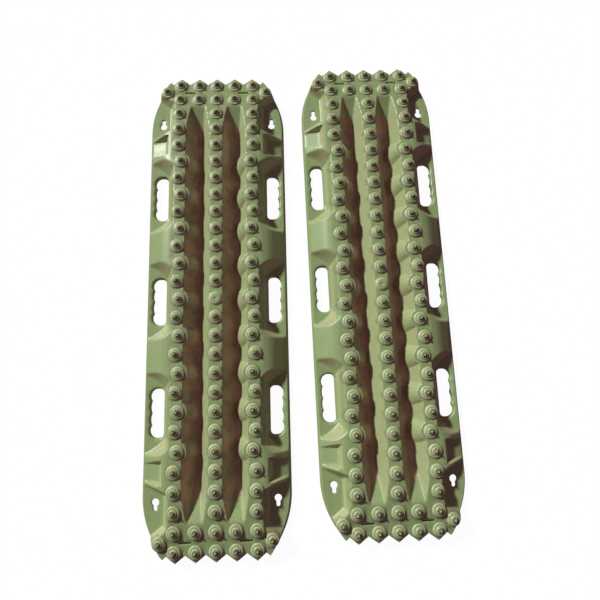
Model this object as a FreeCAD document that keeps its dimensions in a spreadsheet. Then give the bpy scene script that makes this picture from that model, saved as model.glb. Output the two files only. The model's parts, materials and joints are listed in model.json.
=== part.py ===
"""A pair of vehicle recovery boards: two identical one-piece mouldings lying side by side.

Each board is a thin shell, open underneath. Three ridges run along it with two deep channels
between them. Pointed studs stand on the ridges, the ends slope down to a row of teeth, and the
flanges carry three hand slots a side, four keyholes and four strap slots.

Frame: +Z up with the ground at zero, +Y along the left board, origin under the middle of the pair.
Lengths are millimetres. One quarter of a board is modelled and mirrored twice.
"""

import FreeCAD, Part
import math
import os

import Sketcher
from FreeCAD import Rotation, Vector

DIMENSIONS = {
    # overall
    "half_length": 530.0,
    "half_width": 153.3,
    "plateau": 42.0,
    "wall": 4.5,
    "rim_bottom": 3.0,
    "foot_x": 62.0,
    "foot_y": 395.0,
    # outline of an end: an arc round the corner, then teeth
    "arc_start": 400.0,
    "corner_radius": 182.0,
    "corner_y": 521.0,
    "tooth_valley": 514.0,
    "tooth_pitch": 41.0,
    "tooth_last_notch_x": 100.0,
    "tooth_thickness": 8.0,
    # sloping end and rounded flank
    "slope_start": 410.0,
    "slope_drop": 22.0,
    "ridge_edge": 99.0,
    "flank_x": 117.5,
    "flank_z": 36.5,
    "flange_edge_x": 151.0,
    "flange_edge_z": 12.0,
    # channels
    "channel_floor": 6.0,
    "channel_top_inner": 14.5,
    "channel_top_outer": 67.0,
    "channel_floor_inner": 34.0,
    "channel_floor_outer": 49.6,
    "channel_straight": 375.0,
    "channel_top_end": 470.0,
    "channel_floor_end": 380.0,
    "channel_tip_inner": 23.0,
    "channel_tip_outer": 59.0,
    "channel_end_round": 2.0,
    # half-cone buttresses round the studs that stand further in
    "buttress_top": 20.0,
    "buttress_foot": 38.0,
    # pockets in the flanks
    "flange": 12.0,
    "pocket_foot_x": 107.0,
    "pocket_top_x": 95.0,
    "pocket_half": 52.0,
    "pocket_mouth": 85.5,
    "pocket_radius": 95.0,
    "pocket_draft": 11.0,
    "corner_pocket_start": 389.0,
    "corner_pocket_end": 462.0,
    "corner_draft": 15.0,
    # hand slots
    "slot_pitch": 236.5,
    "slot_inner_x": 112.0,
    "slot_half": 50.5,
    "slot_corner": 9.0,
    "slot_end_radius": 16.0,
    "scallop_radius": 32.0,
    "scallop_pitch": 25.25,
    "scallop_cusp_x": 136.8,
    "lip": 3.0,
    "lip_bottom": 3.0,
    # sunk panels
    "panel_floor": 23.5,
    "panel_fall": 0.31,
    "panel_foot_x": 114.0,
    "panel_top_x": 105.0,
    "panel_near": 334.0,
    "panel_far": 372.0,
    # keyholes and strap slots
    "keyhole_x": 125.0,
    "keyhole_y": 413.0,
    "keyhole_radius": 7.5,
    "keyhole_neck_y": 426.0,
    "keyhole_neck_radius": 4.0,
    "strap_x": 61.0,
    "strap_y": 488.0,
    "strap_length": 24.0,
    "strap_width": 3.2,
    # studs
    "stud_pitch": 39.0,
    "stud_outer_x": 83.0,
    "stud_inner_x": 77.0,
    "stud_end_x": 40.5,
    "stud_corner_x": 113.0,
    "stud_corner_y": 488.0,
    "stud_radius": 14.2,
    "stud_disc": 11.7,
    "stud_disc_height": 4.4,
    "stud_step": 8.2,
    "stud_step_height": 5.0,
    "stud_collar": 7.2,
    "stud_collar_height": 7.0,
    "stud_spike": 5.4,
    "stud_tip": 0.8,
    "stud_height": 14.5,
    "stud_skirt": 3.2,
    "gate_height": 4.0,
    "gate_top": 9.7,
    "gate_dimple": 3.0,
    # stiffening ribs under the ridges
    "rib_pitch": 78.0,
    "rib_thickness": 3.0,
    "rib_reach": 98.0,
    # the pair as it lies
    "pair_spacing_x": 357.5,
    "pair_spacing_y": 23.3,
    "pair_yaw": 1.12,
    "left_x": -182.65,
    "left_y": -12.4,
}

MARGIN = 12.0  # how far a cutting shape runs past the material it cuts
RIBS = 5  # under each ridge of a quarter
STUD_ROWS = 14  # from the middle of a board to one end, the middle one included
LAST_BUTTRESS_ROW = 8  # every second stud up to this row stands further in, on a buttress
FIRST_FULL_ROW = 12  # from here on a row has studs between the ridges too

# How far the hollow's walls stand back from the outside's, in wall thicknesses, measured level.
# A wall at a slope needs less or more than one thickness to stay about one thickness through.
STEEP_STEP = 1.05
CHANNEL_STEP = 1.12
CHANNEL_FLOOR_STEP = 0.67
BUTTRESS_STEP = 1.15
FLANK_STEP = 0.5
RAMP_STEP = 2.6
CHANNEL_DROP = 1.6  # the hollow's channel runs out below the ground


class Size:
    """A length that knows both its value and the sheet expression it comes from."""

    def __init__(self, value, text):
        self.value = float(value)
        self.text = text

    @staticmethod
    def of(other):
        return other if isinstance(other, Size) else Size(other, repr(float(other)))

    def _join(self, other, sign, value):
        return Size(value, f"({self.text} {sign} {Size.of(other).text})")

    def __add__(self, other):
        return self._join(other, "+", self.value + Size.of(other).value)

    def __sub__(self, other):
        return self._join(other, "-", self.value - Size.of(other).value)

    def __mul__(self, other):
        return self._join(other, "*", self.value * Size.of(other).value)

    def __truediv__(self, other):
        return self._join(other, "/", self.value / Size.of(other).value)

    def __neg__(self):
        return self * -1.0

    def root(self):
        return Size(math.sqrt(self.value), f"sqrt({self.text})")


class Sheet:
    """The driving dimensions: sheet cells whose aliases read as attributes."""

    def __init__(self, doc, dimensions):
        cells = doc.addObject("Spreadsheet::Sheet", "Sizes")
        for row, (name, value) in enumerate(dimensions.items(), start=1):
            cells.set(f"A{row}", name)
            cells.set(f"B{row}", str(value))
            cells.setAlias(f"B{row}", name)
            setattr(self, name, Size(value, f"Sizes.{name}"))


doc = FreeCAD.newDocument("recovery_boards")
size = Sheet(doc, DIMENSIONS)
doc.recompute()
nothing = Size(0.0, "0")


def bind(thing, prop, value):
    """Set a property and tie it to the sheet."""
    thing.setExpression(prop, Size.of(value).text)


# ---------------------------------------------------------------- sketches and body features

def origin_plane(body, role):
    return next(f for f in body.Origin.OriginFeatures if f.Role == role)


def sketch(body, name, role, corners, level=0.0):
    """Draw a closed outline on one of the body's own planes, raised by level along its normal.

    A corner is (x, y), or (x, y, radius) where an arc leads on to the next corner. A positive
    radius turns left along the way, a negative one turns right.
    """
    outline = body.newObject("Sketcher::SketchObject", name)
    outline.AttachmentSupport = (origin_plane(body, role), "")
    outline.MapMode = "FlatFace"
    bind(outline, "AttachmentOffset.Base.z", level)
    points = [Vector(Size.of(c[0]).value, Size.of(c[1]).value, 0) for c in corners]
    starts = []  # which end of each edge is where the outline enters it
    for index, corner in enumerate(corners):
        here, there = points[index], points[(index + 1) % len(points)]
        if len(corner) == 2:
            outline.addGeometry(Part.LineSegment(here, there), False)
            starts.append(1)
        else:
            outline.addGeometry(arc_between(here, there, Size.of(corner[2]).value), False)
            starts.append(1 if corner[2].value > 0 else 2)
    for index, corner in enumerate(corners):
        before = (index - 1) % len(corners)
        outline.addConstraint(
            Sketcher.Constraint("Coincident", before, 3 - starts[before], index, starts[index])
        )
        for kind, value in (("DistanceX", corner[0]), ("DistanceY", corner[1])):
            number = outline.addConstraint(
                Sketcher.Constraint(kind, -1, 1, index, starts[index], Size.of(value).value)
            )
            bind(outline, f"Constraints[{number}]", value)
        if len(corner) == 3:
            radius = corner[2] if corner[2].value > 0 else -corner[2]
            number = outline.addConstraint(Sketcher.Constraint("Radius", index, radius.value))
            bind(outline, f"Constraints[{number}]", radius)
    return outline


def arc_between(here, there, radius):
    """The minor arc from one point to another, turning left for a positive radius."""
    chord = there - here
    left = Vector(-chord.y, chord.x, 0).normalize()
    height = math.sqrt(max(radius * radius - chord.Length ** 2 / 4, 0.0))
    turn = 1 if radius > 0 else -1
    centre = (here + there) / 2 + left * (turn * height)
    ends = (here, there) if radius > 0 else (there, here)
    angles = [math.atan2(p.y - centre.y, p.x - centre.x) for p in ends]
    return Part.ArcOfCircle(Part.Circle(centre, Vector(0, 0, 1), abs(radius)), *angles)


def pad(body, name, profile, length):
    feature = body.newObject("PartDesign::Pad", name)
    feature.Profile = profile
    bind(feature, "Length", length)
    return feature


def pocket(body, name, profile, length, both_ways=False, reverse=False):
    """Cut a sketch through the body, and make sure that it removes something."""
    doc.recompute()
    before = body.Shape.Volume
    feature = body.newObject("PartDesign::Pocket", name)
    feature.Profile = profile
    feature.SideType = "Symmetric" if both_ways else "One side"
    feature.Reversed = reverse
    bind(feature, "Length", length)
    check_cut(body, name, before)
    return feature


def loft_cut(body, name, lower, upper):
    """Cut a cavity whose walls run straight from one sketch to another."""
    doc.recompute()
    before = body.Shape.Volume
    feature = body.newObject("PartDesign::SubtractiveLoft", name)
    feature.Profile = lower
    feature.Sections = [upper]
    feature.Ruled = True
    check_cut(body, name, before)
    return feature


def check_cut(body, name, before):
    doc.recompute()
    if not body.Shape.Volume < before - 1.0:
        raise RuntimeError(f"{name} removes nothing from {body.Label}")


# ---------------------------------------------------------------- one quarter of the moulding

def quarter_outline(inset):
    """Corners of a quarter of the plan, with teeth on the outer form and none on the hollow."""
    edge = size.half_width - inset
    radius = size.corner_radius - inset
    centre_x = size.half_width - size.corner_radius
    end_y = size.corner_y if inset is nothing else size.tooth_valley - inset
    rise = end_y - size.arc_start
    corner_x = centre_x + (radius * radius - rise * rise).root()
    corners = [(nothing, nothing), (edge, nothing), (edge, size.arc_start, radius),
               (corner_x, end_y)]
    if inset is nothing:
        corners.append((size.tooth_last_notch_x, size.tooth_valley))
        for tooth in (2, 1):
            tip_x = size.tooth_pitch * tooth
            corners.append((tip_x, size.half_length))
            corners.append((tip_x - size.tooth_pitch / 2, size.tooth_valley))
        corners.append((nothing, size.half_length))
    else:
        corners.append((nothing, end_y))
    return corners


def surface_z(along, inset):
    """Height of the sloping end at a distance along the board."""
    steep = size.slope_drop / (size.half_length - size.slope_start)
    return size.plateau - inset - steep * (along - size.slope_start)


def cut_end_slope(body, inset):
    top = size.plateau - inset
    past_end = size.half_length + MARGIN
    wedge = sketch(body, "end_wedge", "YZ_Plane", [
        (size.slope_start, top), (past_end, surface_z(past_end, inset)),
        (past_end, top + MARGIN), (size.slope_start, top + MARGIN),
    ])
    pocket(body, "end_slope", wedge, size.half_width * 3, both_ways=True)


def cut_flank(body, inset):
    """Round the outside of the board down from the outer ridge to the edge of the flange."""
    top = size.plateau - inset
    past_side = size.half_width + MARGIN
    shift = inset * FLANK_STEP
    fall = (size.flank_z - size.flange_edge_z) / (size.flange_edge_x - size.flank_x)
    low = size.flange_edge_z - inset - fall * (past_side - size.flange_edge_x + shift)
    wedge = sketch(body, "flank_wedge", "XZ_Plane", [
        (size.ridge_edge - shift, top), (size.flank_x - shift, size.flank_z - inset),
        (past_side, low), (past_side, top + MARGIN), (size.ridge_edge - shift, top + MARGIN),
    ])
    pocket(body, "flank_slope", wedge, size.half_length * 3, both_ways=True)


def cut_hand_pocket(body, name, centre_y, inset):
    """A bay in the flank: straight at the back, with sides that swell outwards in arcs."""
    floor = size.flange - inset
    top = size.plateau + MARGIN
    grow = inset * STEEP_STEP
    lean = (size.pocket_foot_x - size.pocket_top_x) / (size.plateau - size.flange)
    far_x = size.half_width + MARGIN

    def outline(back, spread):
        foot_x = size.pocket_foot_x - grow - back
        half = size.pocket_half + grow + spread
        mouth = size.pocket_mouth + grow + spread
        return [
            (foot_x, centre_y - half, size.pocket_radius), (far_x, centre_y - mouth),
            (far_x, centre_y + mouth, size.pocket_radius), (foot_x, centre_y + half),
        ]

    lower = sketch(body, f"{name}_floor", "XY_Plane", outline(nothing, nothing), floor)
    upper = sketch(body, f"{name}_top", "XY_Plane",
                   outline(lean * (top - floor), size.pocket_draft), top)
    loft_cut(body, name, lower, upper)


def cut_corner_pocket(body, inset):
    floor = size.flange - inset
    top = size.plateau + MARGIN
    edge = size.half_width + MARGIN

    def outline(spread):
        near = size.corner_pocket_start - spread
        far = size.corner_pocket_end + spread
        back = size.pocket_foot_x - spread
        return [(back, near + size.pocket_draft), (edge, near - size.pocket_draft),
                (edge, far), (back - size.lip, far)]

    grow = inset * STEEP_STEP
    lower = sketch(body, "corner_pocket_floor", "XY_Plane", outline(grow), floor)
    upper = sketch(body, "corner_pocket_top", "XY_Plane",
                   outline(grow + size.corner_draft), top)
    loft_cut(body, "corner_pocket", lower, upper)


def cut_panel(body, inset):
    """The sunk panel in the outermost block of the flank, its floor falling outwards."""
    grow = inset * STEEP_STEP
    back_x = size.panel_foot_x - grow
    far_x = size.half_width + MARGIN
    floor = size.panel_floor - inset
    top = size.plateau + MARGIN
    middle = (size.panel_near + size.panel_far) / 2
    profile = sketch(body, "panel_profile", "XZ_Plane", [
        (back_x, floor), (far_x, floor - (far_x - back_x) * size.panel_fall),
        (far_x, top), (size.panel_top_x - grow, top),
    ], -middle)
    pocket(body, "panel", profile, size.panel_far - size.panel_near + grow * 2, both_ways=True)


def cut_channel(body, inset):
    """The deep channel beside the middle ridge, with a ramp up at its end."""
    wide = inset * CHANNEL_STEP
    ramp = inset * RAMP_STEP
    depth = inset * CHANNEL_DROP
    steep = (size.channel_top_end - size.channel_floor_end) / (size.plateau - size.channel_floor)
    floor_end = size.channel_floor_end + ramp - steep * depth
    inner = size.channel_floor_inner - inset * CHANNEL_FLOOR_STEP
    outer = size.channel_floor_outer + inset * CHANNEL_FLOOR_STEP
    clip = size.channel_end_round
    start = -size.stud_pitch
    lower = sketch(body, "channel_floor", "XY_Plane", [
        (inner, start), (outer, start), (outer, floor_end - clip),
        (outer - clip / 4, floor_end), (inner + clip / 4, floor_end), (inner, floor_end - clip),
    ], size.channel_floor - depth)
    bend = size.channel_straight + ramp
    end = size.channel_top_end + ramp
    upper = sketch(body, "channel_top", "XY_Plane", [
        (size.channel_top_inner - wide, start), (size.channel_top_outer + wide, start),
        (size.channel_top_outer + wide, bend), (size.channel_tip_outer + wide, end),
        (size.channel_tip_inner - wide, end), (size.channel_top_inner - wide, bend),
    ], size.plateau)
    loft_cut(body, "channel", lower, upper)


def add_buttress(body, row, inset):
    """Half a cone that carries an inner stud down the wall of the channel."""
    cone = body.newObject("PartDesign::AdditiveCone", f"buttress_{row}")
    cone.AttachmentSupport = (origin_plane(body, "XY_Plane"), "")
    cone.MapMode = "FlatFace"
    bind(cone, "Radius1", size.buttress_foot - inset * BUTTRESS_STEP)
    bind(cone, "Radius2", size.buttress_top - inset * BUTTRESS_STEP)
    bind(cone, "Height", size.plateau - size.channel_floor)
    offset(cone, size.stud_inner_x, size.stud_pitch * row, size.channel_floor - inset)
    cone.AttachmentOffset.Rotation = Rotation(Vector(0, 0, 1), 90)
    cone.Angle = 180.0 if row else 90.0  # the middle one is shared with the next quarter


def offset(feature, x, y, z):
    """Put a body feature at a sheet-driven position."""
    for axis, value in zip("xyz", (x, y, z)):
        bind(feature, f"AttachmentOffset.Base.{axis}", value)


def quarter_form(name, inset):
    """One quarter of the board's form, shrunk by inset: the outside, or the hollow under it."""
    body = doc.addObject("PartDesign::Body", name)
    plan = sketch(body, "plan", "XY_Plane", quarter_outline(inset))
    pad(body, "slab", plan, size.plateau - inset)
    cut_end_slope(body, inset)
    cut_flank(body, inset)
    cut_hand_pocket(body, "middle_pocket", nothing, inset)
    cut_hand_pocket(body, "end_pocket", size.slot_pitch, inset)
    cut_corner_pocket(body, inset)
    cut_panel(body, inset)
    cut_channel(body, inset)
    for row in range(0, LAST_BUTTRESS_ROW + 1, 2):
        add_buttress(body, row, inset)
    doc.recompute()
    return body


# ---------------------------------------------------------------- openings, lips and ribs

def slot_outline(centre_y, grow):
    """A hand slot: straight on the ridge side, with finger scallops towards the edge."""
    inner = size.slot_inner_x - grow
    cusp = size.scallop_cusp_x + grow
    half = size.slot_half + grow
    corner = size.slot_corner + grow
    finger = size.scallop_pitch
    middle = size.scallop_radius + grow
    end = size.slot_end_radius + grow
    return [
        (inner + corner, centre_y - half), (cusp - size.slot_corner, centre_y - half, end),
        (cusp, centre_y - finger, middle), (cusp, centre_y, middle),
        (cusp, centre_y + finger, end), (cusp - size.slot_corner, centre_y + half),
        (inner + corner, centre_y + half, corner), (inner, centre_y + half - corner),
        (inner, centre_y - half + corner, corner),
    ]


def cut_openings(body):
    """Hand slots, keyhole and strap slot through the outer form, and the trim under its edge."""
    deep = size.plateau + MARGIN
    for name, centre_y in (("middle", nothing), ("end", size.slot_pitch)):
        slot = sketch(body, f"{name}_slot_plan", "XY_Plane", slot_outline(centre_y, nothing))
        pocket(body, f"{name}_hand_slot", slot, deep, reverse=True)
    for name, along, radius in (
        ("keyhole", size.keyhole_y, size.keyhole_radius),
        ("keyhole_end", size.keyhole_neck_y, size.keyhole_neck_radius),
    ):
        hole = body.newObject("PartDesign::SubtractiveCylinder", name)
        bind(hole, "Radius", radius)
        bind(hole, "Height", deep)
        put_in(body, hole, size.keyhole_x, along)
    box_cut(body, "keyhole_neck", size.keyhole_x, (size.keyhole_y + size.keyhole_neck_y) / 2,
            size.keyhole_neck_radius * 2, size.keyhole_neck_y - size.keyhole_y)
    box_cut(body, "strap_slot", size.strap_x, size.strap_y, size.strap_length, size.strap_width)

    reach = size.half_length + MARGIN
    side = size.half_width + MARGIN
    back = Size.of(-MARGIN)
    rim = sketch(body, "rim_plan", "XY_Plane", [
        (size.foot_x, back), (side, back), (side, reach),
        (back, reach), (back, size.foot_y), (size.foot_x, size.foot_y),
    ])
    pocket(body, "rim", rim, size.rim_bottom, reverse=True)
    under = sketch(body, "tooth_wedge", "YZ_Plane", [
        (size.tooth_valley, nothing), (reach, nothing),
        (reach, surface_z(reach, size.tooth_thickness)),
        (size.tooth_valley, surface_z(size.tooth_valley, size.tooth_thickness)),
    ])
    pocket(body, "tooth_underside", under, size.half_width * 3, both_ways=True)


def put_in(body, feature, x, y):
    feature.AttachmentSupport = (origin_plane(body, "XY_Plane"), "")
    feature.MapMode = "FlatFace"
    offset(feature, x, y, nothing)


def box_cut(body, name, x, y, width, depth):
    """Cut a rectangular hole, centred on x and y, right through the form."""
    hole = body.newObject("PartDesign::SubtractiveBox", name)
    bind(hole, "Length", width)
    bind(hole, "Width", depth)
    bind(hole, "Height", size.plateau + MARGIN)
    put_in(body, hole, x - width / 2, y - depth / 2)


def leave_lips_and_ribs(body):
    """Take from the hollow what stays solid: a lip round each hand slot, and the ribs."""
    deep = size.plateau
    for name, centre_y in (("middle", nothing), ("end", size.slot_pitch)):
        lip = sketch(body, f"{name}_lip_plan", "XY_Plane", slot_outline(centre_y, size.lip),
                     size.lip_bottom)
        pocket(body, f"{name}_lip", lip, deep, reverse=True)
    half = size.rib_thickness / 2
    plan = sketch(body, "rib_plan", "XY_Plane", [
        (nothing, size.stud_pitch - half), (size.rib_reach, size.stud_pitch - half),
        (size.rib_reach, size.stud_pitch + half), (nothing, size.stud_pitch + half),
    ], size.rim_bottom)
    rib = pocket(body, "rib", plan, deep, reverse=True)
    ribs = body.newObject("PartDesign::LinearPattern", "ribs")
    ribs.Originals = [rib]
    ribs.Direction = (plan, ["V_Axis"])
    ribs.Occurrences = RIBS
    bind(ribs, "Length", size.rib_pitch * (RIBS - 1))
    body.Tip = ribs


# ---------------------------------------------------------------- studs

def stud_body():
    """One stud: a steep-sided disc, a collar on it, and a pointed spike in the middle."""
    body = doc.addObject("PartDesign::Body", "stud")
    profile = sketch(body, "stud_profile", "XZ_Plane", [
        (nothing, -size.stud_skirt), (size.stud_radius, -size.stud_skirt),
        (size.stud_radius, nothing), (size.stud_disc, size.stud_disc_height),
        (size.stud_step, size.stud_step_height), (size.stud_collar, size.stud_collar_height),
        (size.stud_spike, size.stud_collar_height), (size.stud_tip, size.stud_height),
        (nothing, size.stud_height),
    ])
    turn = body.newObject("PartDesign::Revolution", "turned_stud")
    turn.Profile = profile
    turn.ReferenceAxis = (profile, ["V_Axis"])
    turn.Angle = 360.0
    return body


def stud_places():
    """Plan positions of the studs of one quarter, those on its two edges included."""
    pitch = size.stud_pitch.value
    for row in range(STUD_ROWS):
        if row:
            yield 0.0, row * pitch
        inner = row % 2 == 0 and row <= LAST_BUTTRESS_ROW
        side_x = size.stud_inner_x if inner else size.stud_outer_x
        yield side_x.value, row * pitch
        if row >= FIRST_FULL_ROW:
            yield size.stud_end_x.value, row * pitch
    yield size.stud_corner_x.value, size.stud_corner_y.value


def stud_field(stud):
    """Every stud of a board, and the flat boss in place of the middle one."""
    solids = [gate_boss()]
    for x, y in stud_places():
        z = min(size.plateau.value, surface_z(Size(y, str(y)), nothing).value)
        for across in {x, -x}:
            for along in {y, -y}:
                solids.append(stud.Shape.translated(Vector(across, along, z)))
    field = doc.addObject("Part::Feature", "stud_field")
    field.Shape = Part.makeCompound(solids)
    return field


def gate_boss():
    """The flat-topped boss at the middle of the board, with a dimple in it."""
    radius, height = size.stud_radius.value, size.gate_height.value
    skirt = size.stud_skirt.value
    base = Vector(0, 0, size.plateau.value)
    boss = Part.makeCone(radius, size.gate_top.value, height, base)
    root = Part.makeCylinder(radius, skirt, base - Vector(0, 0, skirt))
    half = height / 2
    dimple = Part.makeCylinder(size.gate_dimple.value, half, base + Vector(0, 0, half))
    return boss.fuse(root).cut(dimple).removeSplitter()


# ---------------------------------------------------------------- the two boards

def mirrored(source, name, normal):
    copy = doc.addObject("Part::Mirroring", name)
    copy.Source = source
    copy.Normal = normal
    return copy


def joined(name, *pieces):
    fuse = doc.addObject("Part::MultiFuse", name)
    fuse.Shapes = list(pieces)
    fuse.Refine = True
    return fuse


def board(name, shell, studs, x, y, yaw):
    """A whole board, as a named piece at its place in the pair."""
    piece = joined(name, shell, studs)
    piece.Label = name
    bind(piece, "Placement.Base.x", x)
    bind(piece, "Placement.Base.y", y)
    piece.Placement.Rotation = Rotation(Vector(0, 0, 1), yaw.value)
    return piece


def check_model(pieces):
    """Stop if an object of the document failed, or a piece isn't one valid solid."""
    for thing in doc.Objects:
        if "Invalid" in thing.State or "Error" in thing.State:
            raise RuntimeError(f"{thing.Label} failed: {thing.State}")
    for piece in pieces:
        shape = piece.Shape
        if shape.isNull() or not shape.isValid() or len(shape.Solids) != 1:
            raise RuntimeError(f"{piece.Label} is not one valid solid")


outside = quarter_form("outside_quarter", nothing)
cut_openings(outside)
hollow = quarter_form("hollow_quarter", size.wall)
leave_lips_and_ribs(hollow)
shell_quarter = doc.addObject("Part::Cut", "shell_quarter")
shell_quarter.Base = outside
shell_quarter.Tool = hollow
shell_half = joined("shell_half", shell_quarter,
                    mirrored(shell_quarter, "other_quarter", Vector(1, 0, 0)))
shell = joined("shell", shell_half, mirrored(shell_half, "other_half", Vector(0, 1, 0)))
stud = stud_body()
doc.recompute()
studs = stud_field(stud)
pieces = [
    board("left_board", shell, studs, size.left_x, size.left_y, nothing),
    board("right_board", shell, studs, size.left_x + size.pair_spacing_x,
          size.left_y + size.pair_spacing_y, size.pair_yaw),
]
doc.recompute()
check_model(pieces)

os.makedirs("parts", exist_ok=True)
for piece in pieces:
    piece.Shape.exportStep(f"parts/{piece.Label}.step")
    box = piece.Shape.BoundBox
    print(f"{piece.Label}: {piece.Shape.Volume / 1000:.0f} cm3, x {box.XMin:.2f} to {box.XMax:.2f}, "
          f"y {box.YMin:.2f} to {box.YMax:.2f}, z {box.ZMin:.2f} to {box.ZMax:.2f}")
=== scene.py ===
import json
import math

import bpy
import numpy as np
from mathutils import Matrix, Vector
from mathutils.geometry import delaunay_2d_cdt


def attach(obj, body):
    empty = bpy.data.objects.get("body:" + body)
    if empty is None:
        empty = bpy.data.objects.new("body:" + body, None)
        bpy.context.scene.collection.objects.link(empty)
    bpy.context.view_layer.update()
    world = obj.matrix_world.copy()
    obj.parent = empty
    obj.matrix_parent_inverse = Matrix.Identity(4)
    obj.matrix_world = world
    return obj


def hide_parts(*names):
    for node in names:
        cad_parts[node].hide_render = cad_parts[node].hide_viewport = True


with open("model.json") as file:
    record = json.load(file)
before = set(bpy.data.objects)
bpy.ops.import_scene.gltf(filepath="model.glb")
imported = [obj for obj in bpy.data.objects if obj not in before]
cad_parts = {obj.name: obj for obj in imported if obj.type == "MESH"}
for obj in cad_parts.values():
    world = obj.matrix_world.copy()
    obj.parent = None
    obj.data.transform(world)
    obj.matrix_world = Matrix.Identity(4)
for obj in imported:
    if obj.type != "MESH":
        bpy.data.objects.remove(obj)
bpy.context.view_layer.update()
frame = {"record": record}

# All lengths below are millimetres in a board's own frame: +X across, +Y along, +Z up,
# origin on the ground under its middle. One quarter is meshed and mirrored twice.

HALF_LENGTH, HALF_WIDTH, PLATEAU, WALL = 530.0, 153.3, 42.0, 4.5
RIM, FLANGE = 3.0, 12.0
ARC_START, CORNER_RADIUS, CORNER_Y = 400.0, 182.0, 521.0
TOOTH_PITCH, TOOTH_VALLEY, LAST_NOTCH_X = 41.0, 514.0, 100.0
SLOT_PITCH, SLOT_INNER, SLOT_HALF, SLOT_CORNER = 236.5, 112.0, 50.5, 9.0
SLOT_END_RADIUS, SCALLOP_RADIUS, SCALLOP_PITCH, CUSP_X = 16.0, 32.0, 25.25, 136.8
KEYHOLE_X, KEYHOLE_Y, KEYHOLE_RADIUS, NECK_Y, NECK_RADIUS = 125.0, 413.0, 7.5, 426.0, 4.0
STRAP_X, STRAP_Y, STRAP_LENGTH, STRAP_WIDTH = 61.0, 488.0, 24.0, 3.2
STUD_PITCH, STUD_OUTER, STUD_INNER, STUD_END, STUD_CORNER = 39.0, 83.0, 77.0, 40.5, (113.0, 488.0)
FOOT_X, FOOT_Y = 62.0, 395.0

# the ridges' fall towards the ends, and the two facets of the outer side
END_START, END_DROP, END_RUN = 410.0, 22.0, 120.0
FACET_X, FACET_SLOPE = 99.0, 0.26
FLANK_X, FLANK_Z, FLANK_SLOPE = 117.0, 36.9, 0.735

# a channel: a floor between two walls, tips that close in, and a ramp at the end
CHANNEL_FLOOR, FLOOR_INNER_X, FLOOR_OUTER_X = 6.0, 34.0, 49.6
INNER_SLOPE, OUTER_SLOPE = 1.846, 2.069
TIP_START, INNER_TIP_X, OUTER_TIP_X = 375.0, 14.5, 67.0
INNER_TIP_SLOPE, OUTER_TIP_SLOPE = 1.89, 2.12
INNER_TIP_RISE, OUTER_TIP_RISE = 0.169, 0.1786
RAMP_START, RAMP_SLOPE = 380.0, 0.4

# the half-cone buttresses that carry the inner studs
BUTTRESS_RADIUS, BUTTRESS_SLOPE, BUTTRESS_LAST_ROW = 20.0, 2.0, 8

# the corner pocket and the sunk panel
POCKET_X, POCKET_NEAR, POCKET_SKEW, POCKET_SLOPE = 107.0, 400.0, 0.55, 2.0
POCKET_FAR, FAR_SKEW, FAR_SLOPE = 458.0, 0.75, 0.8
PANEL_X, PANEL_NEAR, PANEL_FAR = 114.0, 336.0, 370.0
PANEL_TOP, PANEL_FALL, PANEL_SLOPE = 23.5, 0.31, 1.9

# the underside: where the rim rises under the teeth, and the steepest wall that is thickened
LIFT_START, LIFT_RUN, TOOTH_THICKNESS, STEEPEST = 512.0, 1.8, 8.0, 3.5
COLLAR_MARGIN, COLLAR_DEPTH = 4.5, 14.0

# rings of points that follow the edge and the openings, by distance from them
EDGE_RINGS = (0, 0.12, 0.45, 1.0, 1.8, 2.9, 4.6)
SLOT_RINGS = (0, 0.12, 0.45, 1.0, 1.9, 3.0, 4.4)
HOLE_RINGS = (0, 0.25, 0.6, 1.2)
RIM_END_LINES = (509.2, 509.6, 511.9, 513.85)
FINE, QUICK = 2.0, 3.0


# ---------------------------------------------------------------- the moulded form as a height

def soft_min(a, b, k):
    h = np.clip(0.5 + 0.5 * (b - a) / k, 0.0, 1.0)
    return b * (1 - h) + a * h - k * h * (1 - h)


def soft_max(a, b, k):
    return -soft_min(-a, -b, k)


def box_distance(x, y, x0, x1, y0, y1):
    """Signed distance to a rectangle, negative inside."""
    dx = np.maximum(x0 - x, x - x1)
    dy = np.maximum(y0 - y, y - y1)
    return np.minimum(np.maximum(dx, dy), 0) + np.hypot(np.maximum(dx, 0), np.maximum(dy, 0))


def crown(x, y):
    """The outside of the board with no channels or pockets."""
    end = PLATEAU - (y - END_START) * END_DROP / END_RUN
    z = soft_min(np.full_like(x, PLATEAU), end, 3.0)
    facet = PLATEAU - FACET_SLOPE * (x - FACET_X)
    flank = FLANK_Z - FLANK_SLOPE * (x - FLANK_X)
    return soft_min(soft_min(z, facet, 1.0), flank, 4.5)


def hand_pocket(x, y, centre):
    """Rise of a hand pocket's walls: steep and straight at the back, swelling at the sides."""
    v = np.abs(y - centre)
    radius, half, mouth, foot, far = 95.0, 52.0, 85.5, 107.0, 165.3
    chord = math.hypot(far - foot, mouth - half)
    height = math.sqrt(radius ** 2 - chord ** 2 / 4)
    nx, ny = (mouth - half) / chord, -(far - foot) / chord
    cx, cy = (foot + far) / 2 + nx * height, (half + mouth) / 2 + ny * height
    side = np.where(x > foot - 30, np.hypot(x - cx, v - cy) - radius, -1.0)
    return np.maximum(2.25 * (foot - x), 1.5 * side)


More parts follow.
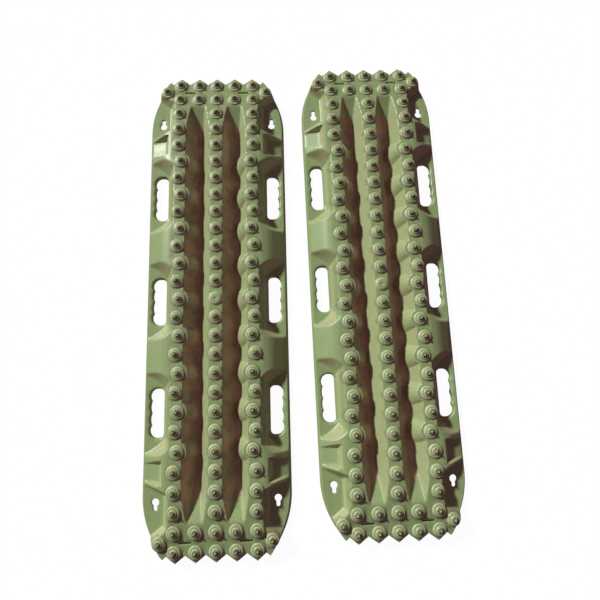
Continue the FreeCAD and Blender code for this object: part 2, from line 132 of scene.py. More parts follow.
def height(x, y):
    """The top of the moulding, without studs, openings or rounded rims."""
    x, y = np.abs(x), np.abs(y)
    top = crown(x, y)
    floor = np.full_like(x, CHANNEL_FLOOR)
    inner = CHANNEL_FLOOR + (FLOOR_INNER_X - x) * INNER_SLOPE
    outer = CHANNEL_FLOOR + (x - FLOOR_OUTER_X) * OUTER_SLOPE
    inner_tip = PLATEAU - INNER_TIP_SLOPE * (x - INNER_TIP_X) + INNER_TIP_RISE * (y - TIP_START)
    outer_tip = PLATEAU + OUTER_TIP_SLOPE * (x - OUTER_TIP_X) + OUTER_TIP_RISE * (y - TIP_START)
    ramp = CHANNEL_FLOOR + (y - RAMP_START) * RAMP_SLOPE
    channel = soft_max(soft_max(floor, inner, 5.0), outer, 5.0)
    channel = soft_max(soft_max(channel, inner_tip, 3.0), outer_tip, 3.0)
    channel = soft_max(channel, ramp, 5.0)
    z = soft_min(top, channel, 2.6)
    for row in range(0, BUTTRESS_LAST_ROW + 1, 2):
        away = np.hypot(x - STUD_INNER, y - row * STUD_PITCH)
        cone = PLATEAU - (away - BUTTRESS_RADIUS) * BUTTRESS_SLOPE
        z = soft_max(z, soft_min(cone, top, 2.2), 1.6)
    for centre in (0.0, SLOT_PITCH):
        wall = FLANGE + hand_pocket(x, y, centre)
        z = soft_min(z, soft_max(wall, np.full_like(x, FLANGE), 5.0), 2.4)
    near = POCKET_NEAR - POCKET_SKEW * (x - POCKET_X) - y
    far = FAR_SLOPE * (y - POCKET_FAR - FAR_SKEW * (x - POCKET_X))
    wall = FLANGE + POCKET_SLOPE * np.maximum(np.maximum(POCKET_X - x, near), far)
    z = soft_min(z, soft_max(wall, np.full_like(x, FLANGE), 5.0), 2.4)
    floor = PANEL_TOP - PANEL_FALL * (x - PANEL_X)
    panel = np.maximum(np.maximum(PANEL_X - x, PANEL_NEAR - y), y - PANEL_FAR)
    return soft_min(z, soft_max(floor + PANEL_SLOPE * panel, floor, 2.0), 1.6)


def slopes(x, y, step):
    """How steeply the top rises along X and along Y."""
    gx = (height(x + step, y) - height(np.abs(x - step), y)) / (2 * step)
    gy = (height(x, y + step) - height(x, np.abs(y - step))) / (2 * step)
    return gx, gy


# ---------------------------------------------------------------- plan curves

def arc_points(a, b, radius, step):
    """Points from a towards b, b left out, along a minor arc that turns left."""
    a, b = np.array(a, float), np.array(b, float)
    chord = b - a
    length = np.linalg.norm(chord)
    left = np.array([-chord[1], chord[0]]) / length
    centre = (a + b) / 2 + left * math.sqrt(max(radius ** 2 - length ** 2 / 4, 0))
    t0 = math.atan2(*(a - centre)[::-1])
    t1 = math.atan2(*(b - centre)[::-1])
    if t1 < t0:
        t1 += 2 * math.pi
    count = max(2, round((t1 - t0) * radius / step))
    t = np.linspace(t0, t1, count + 1)[:-1]
    return [tuple(centre + radius * np.array([math.cos(v), math.sin(v)])) for v in t]


def line_points(a, b, step):
    count = max(1, round(math.dist(a, b) / step))
    return [tuple(np.array(a) + (np.array(b) - np.array(a)) * i / count) for i in range(count)]


def outline():
    """The quarter's edge from the side to the tip of the middle tooth."""
    centre_x = HALF_WIDTH - CORNER_RADIUS
    corner_x = centre_x + math.sqrt(CORNER_RADIUS ** 2 - (CORNER_Y - ARC_START) ** 2)
    points = line_points((HALF_WIDTH, 0.0), (HALF_WIDTH, ARC_START), 6.0)
    points += arc_points((HALF_WIDTH, ARC_START), (corner_x, CORNER_Y), CORNER_RADIUS, 5.0)
    path = [(corner_x, CORNER_Y), (LAST_NOTCH_X, TOOTH_VALLEY)]
    for tooth in (2, 1):
        path += [(TOOTH_PITCH * tooth, HALF_LENGTH), (TOOTH_PITCH * (tooth - 0.5), TOOTH_VALLEY)]
    path.append((0.0, HALF_LENGTH))
    for a, b in zip(path, path[1:]):
        points += line_points(a, b, 6.0)
    return points + [path[-1]]


def slot_loop(centre, grow, step=2.6):
    inner, cusp = SLOT_INNER - grow, CUSP_X + grow
    half, corner = SLOT_HALF + grow, SLOT_CORNER + grow
    end, middle, finger = SLOT_END_RADIUS + grow, SCALLOP_RADIUS + grow, SCALLOP_PITCH
    bend = CUSP_X + grow - SLOT_CORNER
    points = line_points((inner + corner, -half), (bend, -half), step)
    points += arc_points((bend, -half), (cusp, -finger), end, step)
    points += arc_points((cusp, -finger), (cusp, 0.0), middle, step)
    points += arc_points((cusp, 0.0), (cusp, finger), middle, step)
    points += arc_points((cusp, finger), (bend, half), end, step)
    points += line_points((bend, half), (inner + corner, half), step)
    points += arc_points((inner + corner, half), (inner, half - corner), corner, step)
    points += line_points((inner, half - corner), (inner, 0.0), 5.0)
    points += line_points((inner, 0.0), (inner, corner - half), 5.0)
    points += arc_points((inner, corner - half), (inner + corner, -half), corner, step)
    return [(x, y + centre) for x, y in points]


def keyhole_loop(grow):
    radius, neck = KEYHOLE_RADIUS + grow, NECK_RADIUS + grow
    join = math.sqrt(radius ** 2 - neck ** 2)
    start = math.atan2(join, neck)
    turn = np.linspace(math.pi - start, 2 * math.pi + start, 22)
    points = [(KEYHOLE_X + radius * math.cos(t), KEYHOLE_Y + radius * math.sin(t)) for t in turn]
    points += [(KEYHOLE_X + neck * math.cos(t), NECK_Y + neck * math.sin(t))
               for t in np.linspace(0, math.pi, 11)]
    return points


def strap_loop(grow):
    half, side = STRAP_LENGTH / 2 + grow, STRAP_WIDTH / 2 + grow
    path = [(-half, -side), (half, -side), (half, side), (-half, side), (-half, -side)]
    points = []
    for a, b in zip(path, path[1:]):
        points += line_points(a, b, 3.0)
    return [(x + STRAP_X, y + STRAP_Y) for x, y in points]


def segments(points, closed):
    p = np.array(points, float)
    return (p, np.roll(p, -1, 0)) if closed else (p[:-1], p[1:])


def distance(x, y, segs, reach):
    """Distance to the nearest segment, for the points near enough to matter."""
    a, b = segs
    out = np.full(x.shape, 1e3)
    near = ((x > a[:, 0].min() - reach) & (x < a[:, 0].max() + reach)
            & (y > a[:, 1].min() - reach) & (y < a[:, 1].max() + reach))
    index = np.nonzero(near)[0]
    for part in np.array_split(index, max(1, len(index) // 4000)):
        p = np.stack([x[part], y[part]], 1)[:, None]
        d = b - a
        t = np.clip(((p - a) * d).sum(2) / (d * d).sum(1), 0, 1)
        out[part] = np.hypot(*np.moveaxis(p - (a + t[..., None] * d), 2, 0)).min(1)
    return out


def inside(x, y, points):
    """Even-odd test against a closed loop."""
    p = np.array(points, float)
    q = np.roll(p, -1, 0)
    odd = np.zeros(x.shape, bool)
    for (x0, y0), (x1, y1) in zip(p, q):
        if y0 == y1:
            continue
        crosses = (y0 > y) != (y1 > y)
        odd ^= crosses & (x < (x1 - x0) * (y - y0) / (y1 - y0) + x0)
    return odd


EDGE = outline()
FIELD = EDGE + [(0.0, 0.0)]
EDGE_SEGS = segments(EDGE, False)
SLOT_SEGS = [segments(slot_loop(c, 0.0), True) for c in (0.0, SLOT_PITCH)]
SMALL_SEGS = [segments(keyhole_loop(0.0), True), segments(strap_loop(0.0), True)]
HOLES = [slot_loop(0.0, 0.0), slot_loop(SLOT_PITCH, 0.0), keyhole_loop(0.0), strap_loop(0.0)]


# ---------------------------------------------------------------- studs

STUD_PROFILE = [  # radius, rise above the ridge
    (15.3, 0.0), (14.7, 0.3), (14.3, 1.0), (13.6, 2.5), (12.9, 3.45), (12.0, 4.1), (10.8, 4.5),
    (8.8, 4.4), (8.3, 4.8), (7.7, 6.5), (7.0, 7.0), (5.9, 6.9), (5.2, 7.7), (2.6, 10.9),
    (1.0, 14.15), (0.5, 14.5),
]
GATE_PROFILE = [
    (15.7, 0.0), (14.6, 0.3), (14.0, 1.0), (12.3, 2.9), (11.3, 3.8), (10.2, 4.2), (6.0, 4.3),
    (3.3, 4.2), (2.7, 3.6), (2.3, 2.6), (1.0, 2.4),
]
PROFILES = {"stud": STUD_PROFILE, "gate": GATE_PROFILE}
STUD_REACH, STUD_CLEAR = 15.75, 16.4
LEVEL_RADIUS, LEVEL_BLEND = 14.0, 2.5       # the foot of a stud is level inside this radius
LOBE, LOBE_RADIUS, LOBE_BLEND, SPIKE_RADIUS = 0.22, 7.1, 0.8, 6.0


def stud_places():
    places = []
    for row in range(14):
        y = row * STUD_PITCH
        places.append((0.0, y, "stud" if row else "gate"))
        inner = row % 2 == 0 and row <= BUTTRESS_LAST_ROW
        places.append((STUD_INNER if inner else STUD_OUTER, y, "stud"))
        if row >= 12:
            places.append((STUD_END, y, "stud"))
    return places + [(*STUD_CORNER, "stud")]


def lobes(angle, radius):
    """How far a four-sided spike stands out or in from a round one."""
    return LOBE * np.cos(4 * angle) * np.clip((LOBE_RADIUS - radius) / LOBE_BLEND, 0, 1)


def add_studs(x, y, z):
    """Raise the stud profiles out of the surface."""
    for sx, sy, kind in STUDS:
        dx, dy = x - sx, y - sy
        r = np.hypot(dx, dy)
        near = r < STUD_REACH
        if not near.any():
            continue
        r, angle = r[near], np.arctan2(dy[near], dx[near])
        if kind == "stud":
            r = r * (1 + lobes(angle, r))
        radii, rises = zip(*PROFILES[kind][::-1])
        rise = np.interp(r, radii, rises)
        centre = float(crown(np.array([sx]), np.array([sy]))[0])
        level = np.clip((LEVEL_RADIUS - r) / LEVEL_BLEND, 0, 1)
        z[near] = (z[near] * (1 - level) + centre * level) + rise
    return z


STUDS = stud_places()


# ---------------------------------------------------------------- surfaces

def underside_level(y, z):
    """Where the rim ends: near the ground, but up under the teeth."""
    lift = np.clip((np.abs(y) - LIFT_START) / LIFT_RUN, 0, 1)
    return RIM + (z - TOOTH_THICKNESS - RIM) * lift


def hollow(x, y):
    """The underside inside the rim, with no lips or ribs."""
    z = height(x, y)
    gx, gy = slopes(x, y, 0.5)
    under = z - WALL * np.sqrt(1 + np.minimum(gx ** 2 + gy ** 2, STEEPEST))
    foot = (x < FOOT_X) & (y < FOOT_Y)
    return np.maximum(under, np.where(foot, 0.0, RIM))


def collar(x, y, z):
    """The underside again, with a deep collar round each strap slot."""
    near = ((np.abs(x - STRAP_X) < STRAP_LENGTH / 2 + COLLAR_MARGIN)
            & (np.abs(y - STRAP_Y) < STRAP_WIDTH / 2 + COLLAR_MARGIN))
    return np.where(near, height(x, y) - COLLAR_DEPTH, z)


def rounded(share):
    """A quarter circle from 0 to 1."""
    return np.sqrt(1 - (1 - np.clip(share, 0, 1)) ** 2)


def top_surface(x, y):
    """The top with its studs, brought down to the rim along the edge and every opening."""
    z = height(x, y)
    d = distance(x, y, EDGE_SEGS, 8.0)
    low = underside_level(y, z)
    wide = 4.6 - 2.8 * np.clip((y - 500.0) / 12.0, 0, 1)
    z = low + (z - low) * (1 - (1 - np.clip(d / wide, 0, 1)) ** 1.7)
    for segs in SLOT_SEGS:
        s = distance(x, y, segs, 6.0)
        z = RIM + (z - RIM) * rounded(s / 4.4)
    for segs in SMALL_SEGS:
        s = distance(x, y, segs, 3.0)
        near = s < 2.0
        if near.any():
            low = collar(x[near], y[near], hollow(x[near], y[near]))
            z[near] = low + (z[near] - low) * np.interp(s[near], [0, 0.25, 0.6, 1.2],
                                                        [0, 0.86, 0.965, 1])
    return add_studs(x, y, z)


def bottom_surface(x, y):
    """The underside with its collars, ribs, rim and the lips round the hand slots."""
    z = collar(x, y, hollow(x, y))
    for x0, x1, y0, y1 in RIBS:
        rib = box_distance(x, y, x0, x1, y0, y1)
        z = np.where(rib < 0.15, np.minimum(z, RIM), z)
    end = y > 509.4
    z = np.where(end, underside_level(y, height(x, y)), z)
    d = distance(x, y, EDGE_SEGS, 8.0)
    z = np.where(d < WALL + 0.1, underside_level(y, height(x, y)), z)
    for segs in SLOT_SEGS:
        z = np.where(distance(x, y, segs, 6.0) < 3.1, RIM, z)
    return z


RIBS = [(x0, x1, y - 1.5, y + 1.5) for y in STUD_PITCH + 2 * STUD_PITCH * np.arange(5)
        for x0, x1 in ((-1.0, 29.0), (56.0, 98.0))]


# ---------------------------------------------------------------- triangulation

class Plan:
    """Points and constraint lines of a quarter, ready to be triangulated."""

    def __init__(self):
        self.points, self.lines = [], []

    def loop(self, points, closed=True):
        start = len(self.points)
        self.points += [(float(x), float(y)) for x, y in points]
        count = len(points)
        self.lines += [(start + i, start + (i + 1) % count) for i in range(count - (not closed))]

    def clipped(self, points):
        """A closed loop of which only the part with x and y not negative belongs here."""
        p = [(0.0 if abs(x) < 1e-7 else x, 0.0 if abs(y) < 1e-7 else y) for x, y in points]
        keep = [x >= 0 and y >= 0 for x, y in p]
        if all(keep):
            self.loop(p)
            return
        start = next(i for i in range(len(p)) if keep[i] and not keep[i - 1])
        turned = p[start:] + p[:start]
        run = []
        for point in turned:
            if point[0] >= 0 and point[1] >= 0:
                run.append(point)
            elif run:
                self.loop(run, False)
                run = []
        if run:
            self.loop(run, False)

    def triangles(self):
        # the two mirror planes are lines through every point that lies on them
        for axis in (0, 1):
            on = sorted((p[1 - axis], i) for i, p in enumerate(self.points) if p[axis] == 0.0)
            self.lines += [(a[1], b[1]) for a, b in zip(on, on[1:]) if b[0] - a[0] > 1e-6]
        made = delaunay_2d_cdt([Vector(p) for p in self.points], self.lines, [], 0, 1e-5, False)
        xy = np.array([tuple(v) for v in made[0]], float)
        xy[np.abs(xy) < 1e-6] = 0.0
        tri = np.array([f for f in made[2] if len(f) == 3])
        centre = xy[tri].mean(1)
        keep = inside(centre[:, 0], centre[:, 1], FIELD)
        for hole in HOLES:
            keep &= ~inside(centre[:, 0], centre[:, 1], hole)
        a, b, c = xy[tri[:, 0]], xy[tri[:, 1]], xy[tri[:, 2]]
        area = (b[:, 0] - a[:, 0]) * (c[:, 1] - a[:, 1]) - (b[:, 1] - a[:, 1]) * (c[:, 0] - a[:, 0])
        keep &= np.abs(area) > 1e-7
        tri = np.where((area > 0)[:, None], tri, tri[:, ::-1])[keep]
        used = np.unique(tri)
        new = np.full(len(xy), -1)
        new[used] = np.arange(len(used))
        return xy[used], new[tri]


def ring(x, y, radius, count=24, lobed=False):
    angle = np.arange(count) * 2 * math.pi / count
    r = np.full(count, radius)
    if lobed:
        r = radius / (1 + LOBE * np.cos(4 * angle))
    return [(x + q * math.cos(a), y + q * math.sin(a)) for q, a in zip(r, angle)]


def grid_points(fine, threshold, clear):
    """Points spread over the quarter: dense where the surface bends, sparse where it is flat."""
    xs = np.arange(0, HALF_WIDTH + fine, fine)
    ys = np.arange(0, HALF_LENGTH + fine, fine)
    gx, gy = np.meshgrid(xs, ys, indexing="ij")
    z = height(gx.ravel(), gy.ravel()).reshape(gx.shape)
    pad = np.pad(z, 1, mode="edge")
    bend = np.zeros_like(z)
    for dx, dy in ((1, 0), (0, 1), (1, 1), (1, -1)):
        ahead = pad[1 + dx:1 + dx + z.shape[0], 1 + dy:1 + dy + z.shape[1]]
        behind = pad[1 - dx:1 - dx + z.shape[0], 1 - dy:1 - dy + z.shape[1]]
        bend = np.maximum(bend, np.abs(ahead + behind - 2 * z))
    curved = bend > threshold
    wide = curved.copy()
    for shift in (-2, -1, 1, 2):
        wide |= np.roll(curved, shift, 0) | np.roll(curved, shift, 1)
    ix, iy = np.meshgrid(np.arange(len(xs)), np.arange(len(ys)), indexing="ij")
    keep = curved | (wide & (ix % 2 == 0) & (iy % 2 == 0)) | ((ix % 5 == 0) & (iy % 5 == 0))
    x, y = gx[keep], gy[keep]
    ok = inside(x + 1e-4, y + 1e-4, FIELD) & (distance(x, y, EDGE_SEGS, 12.0) > clear[0])
    gaps = (clear[1], clear[1], clear[2], clear[2])
    for hole, segs, gap in zip(HOLES, SLOT_SEGS + SMALL_SEGS, gaps):
        ok &= ~inside(x, y, hole) & (distance(x, y, segs, 12.0) > gap)
    return x[ok], y[ok]


def openings(plan, slot_steps, hole_steps):
    """The openings, and copies of them grown by each step."""
    for centre in (0.0, SLOT_PITCH):
        for s in slot_steps:
            plan.clipped(slot_loop(centre, s))
    for s in hole_steps:
        plan.loop(keyhole_loop(s))
        plan.loop(strap_loop(s))


def edge_loops(plan, steps):
    """The outer edge, and copies of it moved inwards by each step."""
    p = np.array(EDGE)
    ahead = np.vstack([p[1:], [-p[-2][0], p[-2][1]]]) - p
    behind = p - np.vstack([[p[1][0], -p[1][1]], p[:-1]])
    ahead /= np.linalg.norm(ahead, axis=1)[:, None]
    behind /= np.linalg.norm(behind, axis=1)[:, None]
    across = ahead + behind
    across /= np.linalg.norm(across, axis=1)[:, None]
    normal = np.stack([-across[:, 1], across[:, 0]], 1)
    miter = 1 / np.maximum((normal * np.stack([-ahead[:, 1], ahead[:, 0]], 1)).sum(1), 0.5)
    for d in steps:
        q = p + normal * (miter * d)[:, None]
        q[0, 1], q[-1, 0] = 0.0, 0.0
        plan.loop(q, False)


def top_plan(fine):
    plan = Plan()
    plan.points.append((0.0, 0.0))
    edge_loops(plan, EDGE_RINGS)
    openings(plan, SLOT_RINGS, HOLE_RINGS)
    x, y = grid_points(fine, 0.07, (5.6, 5.4, 2.0))
    free = np.ones(len(x), bool)
    for sx, sy, kind in STUDS:
        free &= np.hypot(x - sx, y - sy) > STUD_CLEAR
        for radius, _ in PROFILES[kind]:
            plan.clipped(ring(sx, sy, radius, lobed=kind == "stud" and radius < SPIKE_RADIUS))
        if sx or sy:
            plan.points.append((sx, sy))
    plan.points += list(zip(x[free].tolist(), y[free].tolist()))
    return plan


def bottom_plan():
    plan = Plan()
    plan.points.append((0.0, 0.0))
    edge_loops(plan, (0, WALL, WALL + 0.35))
    openings(plan, (0, 3.0, 3.35), (0, 1.2))
    for grow in (4.4, 4.8):
        plan.loop(strap_loop(grow))
    for radius, _ in STUD_PROFILE[:4]:  # the corner stud's skirt runs into the edge
        plan.loop(ring(*STUD_CORNER, radius))
    for x0, x1, y0, y1 in RIBS:
        for grow in (0.0, 0.4):
            a, b = (x0 - grow, y0 - grow), (x1 + grow, y1 + grow)
            bottom = line_points((max(a[0], 0.0), a[1]), (b[0], a[1]), 6.0) + [(b[0], a[1])]
            top = line_points((b[0], b[1]), (max(a[0], 0.0), b[1]), 6.0) + [(max(a[0], 0.0), b[1])]
            plan.loop(bottom + top, x0 > 0)
    for y in RIM_END_LINES:
        plan.loop([(x, y) for x in np.arange(0.0, 98.0, 6.0)], False)
    for a, b in (((FOOT_X, 0.0), (FOOT_X, FOOT_Y)), ((FOOT_X + 0.3, 0.0), (FOOT_X + 0.3, FOOT_Y)),
                 ((FOOT_X, FOOT_Y), (0.0, FOOT_Y)), ((FOOT_X, FOOT_Y + 0.3), (0.0, FOOT_Y + 0.3))):
        plan.loop(line_points(a, b, 9.0) + [b], False)
    x, y = grid_points(4.0, 0.5, (5.6, 4.2, 2.4))
    free = (y < 508.0) & (np.abs(x - FOOT_X) > 1.2)
    for box in RIBS:
        free &= box_distance(x, y, *box) > 1.2
    plan.points += list(zip(x[free].tolist(), y[free].tolist()))
    return plan


def full_board(fine):
    """Vertices and faces of a whole closed board, in millimetres."""
    top_xy, top_tri = top_plan(fine).triangles()
    low_xy, low_tri = bottom_plan().triangles()
    top_z = top_surface(top_xy[:, 0].copy(), top_xy[:, 1].copy())
    low_z = bottom_surface(low_xy[:, 0].copy(), low_xy[:, 1].copy())

    # the underside shares the vertices of every boundary loop with the top
    def boundary(tri):
        edges = np.sort(np.vstack([tri[:, [0, 1]], tri[:, [1, 2]], tri[:, [2, 0]]]), 1)
        unique, count = np.unique(edges, axis=0, return_counts=True)
        return np.unique(unique[count == 1])

    def key(p):
        return round(p[0] * 500), round(p[1] * 500)

    def on_cut(p):
        """On a mirror plane, so open in the quarter but not in the whole board."""
        return p[0] == 0.0 or p[1] == 0.0

    rim = {key(top_xy[i]): i for i in boundary(top_tri)
           if not on_cut(top_xy[i]) or hole_or_edge(top_xy[i])}
    index = np.arange(len(low_xy)) + len(top_xy)
    loose = 0
    for i in boundary(low_tri):
        p = low_xy[i]
        if on_cut(p) and not hole_or_edge(p):
            continue
        if key(p) in rim:
            index[i] = rim[key(p)]
        else:
            loose += 1
    if loose:
        print("boundary points without a partner:", loose)
    quarter = np.vstack([np.column_stack([top_xy, top_z]), np.column_stack([low_xy, low_z])])
    faces = np.vstack([top_tri, index[low_tri][:, ::-1]])

    used = np.unique(faces)
    new = np.full(len(quarter), -1)
    new[used] = np.arange(len(used))
    quarter, faces = quarter[used], new[faces]

    count = len(quarter)
    on_x, on_y = quarter[:, 0] == 0.0, quarter[:, 1] == 0.0
    number = np.zeros((4, count), int)
    number[0] = np.arange(count)
    verts, total = [quarter], count
    for q, sign, shared, source in ((1, (-1, 1, 1), on_x, 0), (2, (1, -1, 1), on_y, 0),
                                    (3, (-1, -1, 1), on_x | on_y, None)):
        fresh = ~shared
        number[q][fresh] = total + np.arange(fresh.sum())
        if source is not None:
            number[q][shared] = number[source][shared]
        else:
            number[q][on_y] = number[1][on_y]
            number[q][on_x] = number[2][on_x]
        verts.append(quarter[fresh] * np.array(sign))
        total += int(fresh.sum())
    all_faces = [faces, number[1][faces][:, ::-1], number[2][faces][:, ::-1], number[3][faces]]
    return np.vstack(verts), np.vstack(all_faces)


def hole_or_edge(p):
    """Whether a point lies on the outer edge or on a hand slot."""
    x, y = np.array([p[0]]), np.array([p[1]])
    return min(distance(x, y, segs, 8.0)[0] for segs in [EDGE_SEGS] + SLOT_SEGS) < 1e-3


# ---------------------------------------------------------------- materials

SAGE, PALE_SAGE = (0.300, 0.435, 0.185), (0.335, 0.480, 0.208)
DARK_GRAIN, PALE_GRAIN, GRAIN_SHARE = (0.25, 0.365, 0.155), (0.37, 0.53, 0.230), 0.35
# cream: dust on the pocket walls, and painted highlight on the channel walls that face the key
# light
# near-black: painted shade on the spikes, at the collar step and round the studs' feet
# pale green: worn stud rims, and painted highlight on the rims, collars and spike tips
DUST_AND_HIGHLIGHT, SCUFF_AND_HIGHLIGHT, STUD_SHADE_COLOUR = (0.62, 0.55, 0.33), (0.62, 0.68, 0.41), (0.045, 0.045, 0.028)
# painted shade: two browns for the channel walls facing away from the key light and the shadowed
# channel floors
PALE_SHADE_BROWN, DARK_SHADE_BROWN = (0.56, 0.37, 0.26), (0.30, 0.23, 0.17)


def nodes_of(name):
    material = bpy.data.materials.new(name)
    material.use_nodes = True
    tree = material.node_tree
    return material, tree, tree.nodes["Principled BSDF"]


def moulded_nylon(name, shift):
    """Satin sage nylon with fine grain and mottling, under painted brown shade in the channels,
    dust and painted highlight on walls, worn and painted-highlight rims on the studs, and painted
    shade on the spikes.
    """
    material, tree, shader = nodes_of(name)
    new, link = tree.nodes.new, tree.links.new
    place = new("ShaderNodeTexCoord")
    move = new("ShaderNodeMapping")
    move.inputs["Location"].default_value = shift
    link(place.outputs["Object"], move.inputs["Vector"])

    def noise(scale, detail, rough):
        node = new("ShaderNodeTexNoise")
        node.inputs["Scale"].default_value = scale
        node.inputs["Detail"].default_value = detail
        node.inputs["Roughness"].default_value = rough
        link(move.outputs["Vector"], node.inputs["Vector"])
        return node.outputs["Fac"]

    def ramp(source, low, high, a=0.0, b=1.0):
        node = new("ShaderNodeMapRange")
        node.inputs["From Min"].default_value = low
        node.inputs["From Max"].default_value = high
        node.inputs["To Min"].default_value = a
        node.inputs["To Max"].default_value = b
        link(source, node.inputs["Value"])
        return node.outputs["Result"]

    def feed(socket, value):
        """Set a socket to a colour or a number, or link it."""
        if isinstance(value, tuple):
            socket.default_value = (*value, 1.0)
        elif isinstance(value, float):
            socket.default_value = value
        else:
            link(value, socket)

    def mix(amount, a, b):
        node = new("ShaderNodeMix")
        node.data_type = "RGBA"
        feed(node.inputs["Factor"], amount)
        feed(node.inputs[6], a)
        feed(node.inputs[7], b)
        return node.outputs[2]

    base = mix(ramp(noise(14.0, 3.0, 0.6), 0.35, 0.65), SAGE, PALE_SAGE)
    grain = mix(ramp(noise(420.0, 2.0, 0.7), 0.38, 0.62), DARK_GRAIN, PALE_GRAIN)
    colour = mix(GRAIN_SHARE, base, grain)
    patchy = ramp(noise(150.0, 3.0, 0.6), 0.35, 0.6, 0.45, 1.0)

    def cover(name):
        spot, amount = new("ShaderNodeAttribute"), new("ShaderNodeMath")
        spot.attribute_name, amount.operation = name, "MULTIPLY"
        link(spot.outputs["Fac"], amount.inputs[0])
        link(patchy, amount.inputs[1])
        return amount.outputs[0]

    # dust, and painted highlight on walls facing the key light
    dusted_and_lit = mix(cover("dust_and_highlight"), colour, DUST_AND_HIGHLIGHT)
    # paler stud rims: wear and painted highlight
    pale = mix(cover("scuff_and_highlight"), dusted_and_lit, SCUFF_AND_HIGHLIGHT)
    # painted shade: brown mottling for the shaded channels
    shade_brown = mix(ramp(noise(22.0, 4.0, 0.65), 0.38, 0.62), PALE_SHADE_BROWN, DARK_SHADE_BROWN)
    # painted shade on the studs
    dark = mix(cover("stud_shade"), pale, STUD_SHADE_COLOUR)
    link(mix(cover("channel_shade"), dark, shade_brown), shader.inputs["Base Color"])
    link(ramp(noise(60.0, 4.0, 0.6), 0.3, 0.7, 0.34, 0.46), shader.inputs["Roughness"])
    shader.inputs["Specular IOR Level"].default_value = 0.6
    bump = new("ShaderNodeBump")
    bump.inputs["Strength"].default_value = 0.22
    bump.inputs["Distance"].default_value = 0.0006
    link(noise(900.0, 3.0, 0.6), bump.inputs["Height"])
    link(bump.outputs["Normal"], shader.inputs["Normal"])
    return material


# ---------------------------------------------------------------- the two boards

def board_pose(side):
    """Where a board lies: from the mounts at its two pairs of keyholes."""
    spots = {m["name"]: Vector(m["pos_m"]) for m in frame["record"]["mounts"]}
    far, near = spots[f"{side}_far_keyholes"], spots[f"{side}_near_keyholes"]
    along = far - near
    middle = (far + near) / 2
    return Matrix.Translation((middle.x, middle.y, 0.0)) @ Matrix.Rotation(
        math.atan2(-along.x, along.y), 4, "Z")


# colour layers: painted channel shade, dust and painted highlight, worn and highlighted stud rims,
# painted stud shade
SURFACE_LAYERS = ("channel_shade", "dust_and_highlight", "scuff_and_highlight", "stud_shade")


def shade_highlight_and_wear(verts):
    """How much painted shade, dust and painted highlight, paler rim and stud shade lies on each
    vertex.

    Painted brown shade lies on channel floors and on channel walls that face +X, away from the key
    light; dust on pocket walls, and painted highlight on channel walls that face -X, towards the
    key light; worn, paler rims with painted highlight on the studs' rings and spike tips; and
    painted shade on their spikes, at the collar step and round their feet.
    """
    x, y, z = np.abs(verts[:, 0]), np.abs(verts[:, 1]), verts[:, 2]
    gx, gy = slopes(x, y, 0.6)
    steep = np.hypot(gx, gy)

    channel = np.clip((x - 10.0) / 4.0, 0, 1) * np.clip((74.0 - x) / 4.0, 0, 1) * (y < 480)
    # painted shade: channel walls that face +X, away from the key light
    shaded_wall = np.clip((-gx * np.sign(verts[:, 0]) - 0.3) / 0.5, 0, 1) * np.clip((43.0 - z) / 3.0, 0, 1)
    bed = np.clip((22.0 - z) / 10.0, 0, 1) * np.clip((430.0 - y) / 30.0, 0, 1)
    # painted highlight: channel walls that face -X, towards the key light
    lit_wall = np.clip((gx * np.sign(verts[:, 0]) - 0.5) / 0.5, 0, 1)
    outside = z > height(x, y) - 1.5
    # painted shade: brown on the shaded channel walls and on the channel floors below the lit walls
    channel_shade = outside * channel * np.maximum(shaded_wall, bed * (1 - lit_wall)) * 1.4

    # dust on steep pocket walls, and painted highlight on the lit channel walls
    pocket = (x > 100.0) * np.clip((steep - 0.9) / 0.5, 0, 1)
    dust_and_highlight = outside * np.maximum(channel * lit_wall * 0.38, pocket * 0.6)
    scuff_and_highlight, stud_shade = np.zeros(len(verts)), np.zeros(len(verts))
    for sx, sy, kind in STUDS:
        r = np.hypot(x - sx, y - sy)
        # paler rims: worn stud edges, and painted highlight on the spike tip, the collar and the
        # disc's rim
        ring = np.interp(r, [0, 1.2, 2.4, 6.0, 7.0, 8.2, 9.0, 11.0, 12.0, 14.2, 15.6],
                         [1, 1, 0.3, 0.1, 0.9, 0.9, 0.1, 0.2, 0.8, 0.6, 0])
        scuff_and_highlight = np.maximum(scuff_and_highlight, np.where(z > 20.0, ring, 0.0))
        if kind == "stud":
            # painted shade: dark on the spike's faces, at the collar step, and in a ring round the
            # stud's foot where its shadow falls
            face = np.interp(r, [0, 1.3, 2.0, 5.9, 6.6, 8.0, 8.8, 9.6, 14.4, 15.2, 16.4, 18.0],
                             [0, 0, 0.85, 0.8, 0, 0, 0.5, 0, 0, 0.5, 0.5, 0])
            stud_shade = np.maximum(stud_shade, np.where(z > 20.0, face, 0.0))
    return channel_shade, dust_and_highlight, scuff_and_highlight, stud_shade


def make_board(side, verts, faces, material):
    mesh = bpy.data.meshes.new(f"{side}_board_moulding")
    mesh.from_pydata((verts * 0.001).tolist(), [], faces.tolist())
    for name, values in zip(SURFACE_LAYERS, shade_highlight_and_wear(verts)):
        cover = mesh.attributes.new(name, "FLOAT", "POINT")
        cover.data.foreach_set("value", values.astype(np.float32))
    mesh.transform(board_pose(side))
    mesh.materials.append(material)
    mesh.polygons.foreach_set("use_smooth", [True] * len(mesh.polygons))
    mesh.set_sharp_from_angle(angle=math.radians(42))
    mesh.update()
    piece = bpy.data.objects.new(f"{side}_board_moulding", mesh)
    bpy.context.scene.collection.objects.link(piece)
    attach(piece, side)
    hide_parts(f"{side}_board")
    return piece


verts, faces = full_board(FINE)
print("triangles in a board:", len(faces))
for side, shift in (("left", (0.0, 0.0, 0.0)), ("right", (3.1, 1.7, 0.4))):
    make_board(side, verts, faces, moulded_nylon(f"{side}_board_nylon", shift))


# ---------------------------------------------------------------- floor, light and camera

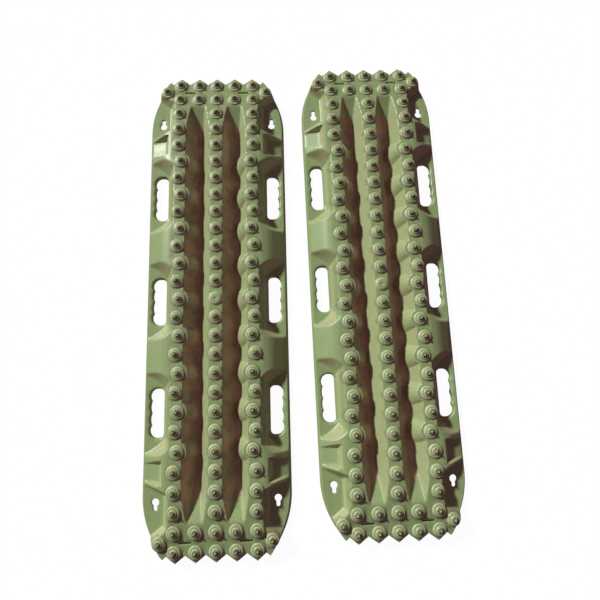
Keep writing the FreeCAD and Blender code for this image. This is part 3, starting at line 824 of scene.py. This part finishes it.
paint, _, shader = nodes_of("studio_paint")
shader.inputs["Base Color"].default_value = (0.06, 0.06, 0.06, 1.0)
shader.inputs["Roughness"].default_value = 0.9
shader.inputs["Specular IOR Level"].default_value = 0.0
shader.inputs["Emission Color"].default_value = (1.0, 1.0, 1.0, 1.0)
shader.inputs["Emission Strength"].default_value = 0.965


def backdrop(name, corners, polygons):
    """A pale surface behind the boards that is seen, but lends them no light."""
    mesh = bpy.data.meshes.new(name)
    mesh.from_pydata(corners, [], polygons)
    mesh.materials.append(paint)
    thing = bpy.data.objects.new(name, mesh)
    bpy.context.scene.collection.objects.link(thing)
    thing.visible_diffuse = thing.visible_glossy = False
    return thing


floor = backdrop("floor", [(-25, -25, 0), (25, -25, 0), (25, 25, 0), (-25, 25, 0)],
                 [(0, 1, 2, 3)])
floor.location.z = -0.0005
DOME_RADIUS, DOME_SINK, SIDES, TIERS = 24, 0.4, 24, (0.0, 0.4, 0.8, 1.2)
turns = [math.radians(15 * i) for i in range(SIDES)]
dome = [(DOME_RADIUS * math.cos(a) * math.cos(e), DOME_RADIUS * math.sin(a) * math.cos(e),
         DOME_RADIUS * math.sin(e) - DOME_SINK) for e in TIERS for a in turns]
dome.append((0.0, 0.0, DOME_RADIUS - DOME_SINK))
top = SIDES * (len(TIERS) - 1)
bands = [(r + i, r + (i + 1) % SIDES, r + SIDES + (i + 1) % SIDES, r + SIDES + i)
         for r in range(0, top, SIDES) for i in range(SIDES)]
bands += [(top + i, top + (i + 1) % SIDES, top + SIDES) for i in range(SIDES)]
backdrop("backdrop", dome, bands).visible_shadow = False

world = bpy.data.worlds.new("studio")
bpy.context.scene.world = world
world.use_nodes = True
world.node_tree.nodes["Background"].inputs["Color"].default_value = (0.140, 0.062, 0.095, 1.0)
world.node_tree.nodes["Background"].inputs["Strength"].default_value = 1.0

KEY_DIRECTION, KEY_WIDTH = (-1.2, 1.0, 1.0), 5.0
key = bpy.data.lights.new("key", "SUN")
key.energy = 3.2
key.angle = math.radians(KEY_WIDTH)
key.color = (1.0, 0.985, 0.95)
lamp = bpy.data.objects.new("key", key)
bpy.context.scene.collection.objects.link(lamp)
lamp.rotation_euler = Vector(KEY_DIRECTION).to_track_quat("Z", "Y").to_euler()

# the camera looks down at the pair: turns about Z, Y and X, then a small correction of its aim
SENSOR, LENS, CAMERA_SPOT = 36.0, 27.60, (-0.0372, -0.1809, 1.0105)
camera = bpy.data.cameras.new("camera")
camera.sensor_width = SENSOR
camera.lens = LENS
viewer = bpy.data.objects.new("camera", camera)
bpy.context.scene.collection.objects.link(viewer)
turn = (Matrix.Rotation(math.radians(1.2208), 3, "Z")
        @ Matrix.Rotation(math.radians(2.2530), 3, "Y")
        @ Matrix.Rotation(math.radians(-9.1112), 3, "X")).transposed()
turn = (turn @ Matrix.Rotation(0.00455, 3, "Y") @ Matrix.Rotation(0.00564, 3, "X")
        @ Matrix.Rotation(math.radians(-0.056), 3, "Z"))
viewer.matrix_world = Matrix.Translation(CAMERA_SPOT) @ turn.to_4x4()
bpy.context.scene.camera = viewer

bpy.context.scene.view_settings.view_transform = "Standard"
